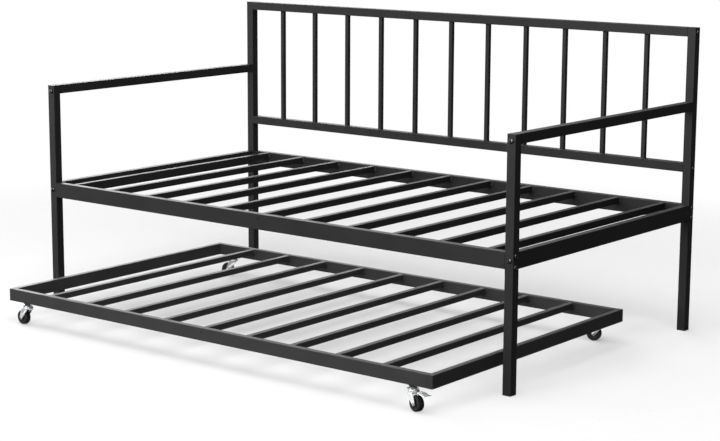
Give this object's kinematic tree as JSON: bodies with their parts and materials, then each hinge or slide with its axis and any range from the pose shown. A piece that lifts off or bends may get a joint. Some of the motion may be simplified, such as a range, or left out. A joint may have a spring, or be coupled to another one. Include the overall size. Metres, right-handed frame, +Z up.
{
  "type": "trundle bed",
  "caption": "Square-tube metal daybed with spindle back and open arms, and a low castered slatted bed that rolls out from underneath.",
  "frame": {"origin": "on the floor, in the middle of the footprint of both beds at rest", "axes": "+X to the right along the bed seen from its open front, +Y to the back, +Z up"},
  "size_m": [1.968, 1.3895, 1.011],
  "materials": {
    "frame_powder_coat": "fine-texture satin black powder coat",
    "trundle_powder_coat": "fine-texture satin black powder coat",
    "plug_plastic": "moulded black plastic",
    "bolt_black": "glossy black oxide",
    "plate_steel": "bare mill steel",
    "stem_zinc": "bright zinc plate",
    "fork_chrome": "bright chrome plate",
    "pedal_zinc": "bright zinc plate",
    "axle_zinc": "bright zinc plate",
    "hub_plastic": "moulded black plastic",
    "tyre_rubber": "moulded black rubber with a fine tread"
  },
  "bodies": {
    "daybed_frame": {"arm_rail_left": "frame_powder_coat", "arm_rail_right": "frame_powder_coat", "back_rail_lower": "frame_powder_coat", "back_rail_top": "frame_powder_coat", "back_spindles": "frame_powder_coat", "frame_bolts": "bolt_black", "post_end_plugs": "plug_plastic", "post_front_left": "frame_powder_coat", "post_front_right": "frame_powder_coat", "post_rear_left": "frame_powder_coat", "post_rear_right": "frame_powder_coat", "rail_end_plates": "plate_steel", "seat_rail_front": "frame_powder_coat", "seat_rail_left": "frame_powder_coat", "seat_rail_rear": "frame_powder_coat", "seat_rail_right": "frame_powder_coat", "seat_slat_1": "frame_powder_coat", "seat_slat_10": "frame_powder_coat", "seat_slat_11": "frame_powder_coat", "seat_slat_2": "frame_powder_coat", "seat_slat_3": "frame_powder_coat", "seat_slat_4": "frame_powder_coat", "seat_slat_5": "frame_powder_coat", "seat_slat_6": "frame_powder_coat", "seat_slat_7": "frame_powder_coat", "seat_slat_8": "frame_powder_coat", "seat_slat_9": "frame_powder_coat"},
    "trundle": {"trundle_rail_front": "trundle_powder_coat", "trundle_rail_left": "trundle_powder_coat", "trundle_rail_rear": "trundle_powder_coat", "trundle_rail_right": "trundle_powder_coat", "trundle_slat_1": "trundle_powder_coat", "trundle_slat_2": "trundle_powder_coat", "trundle_slat_3": "trundle_powder_coat", "trundle_slat_4": "trundle_powder_coat", "trundle_slat_5": "trundle_powder_coat", "trundle_slat_6": "trundle_powder_coat", "trundle_slat_7": "trundle_powder_coat", "trundle_slat_8": "trundle_powder_coat", "trundle_slat_9": "trundle_powder_coat", "caster_bosses": "trundle_powder_coat", "caster_stems": "stem_zinc"},
    "caster_front_right": {"caster_fork_front_right": "fork_chrome", "caster_axle_front_right": "axle_zinc"},
    "wheel_front_right": {"caster_hub_front_right": "hub_plastic", "caster_tyre_front_right": "tyre_rubber"},
    "brake_front_right": {"caster_brake_front_right": "pedal_zinc"},
    "caster_front_left": {"caster_fork_front_left": "fork_chrome", "caster_axle_front_left": "axle_zinc"},
    "wheel_front_left": {"caster_hub_front_left": "hub_plastic", "caster_tyre_front_left": "tyre_rubber"},
    "caster_rear_right": {"caster_fork_rear_right": "fork_chrome", "caster_axle_rear_right": "axle_zinc"},
    "wheel_rear_right": {"caster_hub_rear_right": "hub_plastic", "caster_tyre_rear_right": "tyre_rubber"},
    "brake_rear_right": {"caster_brake_rear_right": "pedal_zinc"},
    "caster_rear_left": {"caster_fork_rear_left": "fork_chrome", "caster_axle_rear_left": "axle_zinc"},
    "wheel_rear_left": {"caster_hub_rear_left": "hub_plastic", "caster_tyre_rear_left": "tyre_rubber"}
  },
  "joints": [
    {"name": "trundle_slide", "type": "slide", "parent": "daybed_frame", "child": "trundle", "axis": [0, -1, 0], "range_m": [-0.312, 0.76]},
    {"name": "swivel_front_right", "type": "hinge", "parent": "trundle", "child": "caster_front_right", "pos_m": [0.83946, -0.66587, 0.0615], "axis": [0, 0, 1], "continuous": true},
    {"name": "roll_front_right", "type": "hinge", "parent": "caster_front_right", "child": "wheel_front_right", "pos_m": [0.85874, -0.67121, 0.024], "axis": [0.2672, 0.9636, 0], "continuous": true},
    {"name": "brake_front_right", "type": "hinge", "parent": "caster_front_right", "child": "brake_front_right", "pos_m": [0.85295, -0.66961, 0.053], "axis": [0.2672, 0.9636, 0], "range_deg": [0, 6]},
    {"name": "swivel_front_left", "type": "hinge", "parent": "trundle", "child": "caster_front_left", "pos_m": [-0.77048, -0.67992, 0.0615], "axis": [0, 0, 1], "continuous": true},
    {"name": "roll_front_left", "type": "hinge", "parent": "caster_front_left", "child": "wheel_front_left", "pos_m": [-0.79046, -0.67905, 0.024], "axis": [-0.0436, -0.999, 0], "continuous": true},
    {"name": "swivel_rear_right", "type": "hinge", "parent": "trundle", "child": "caster_rear_right", "pos_m": [0.83047, 0.36409, 0.0615], "axis": [0, 0, 1], "continuous": true},
    {"name": "roll_rear_right", "type": "hinge", "parent": "caster_rear_right", "child": "wheel_rear_right", "pos_m": [0.81162, 0.35742, 0.024], "axis": [0.3338, -0.9426, 0], "continuous": true},
    {"name": "brake_rear_right", "type": "hinge", "parent": "caster_rear_right", "child": "brake_rear_right", "pos_m": [0.81728, 0.35942, 0.053], "axis": [0.3338, -0.9426, 0], "range_deg": [0, 6]},
    {"name": "swivel_rear_left", "type": "hinge", "parent": "trundle", "child": "caster_rear_left", "pos_m": [-0.77946, 0.35004, 0.0615], "axis": [0, 0, 1], "continuous": true},
    {"name": "roll_rear_left", "type": "hinge", "parent": "caster_rear_left", "child": "wheel_rear_left", "pos_m": [-0.7949, 0.33732, 0.024], "axis": [0.6361, -0.7716, 0], "continuous": true}
  ]
}
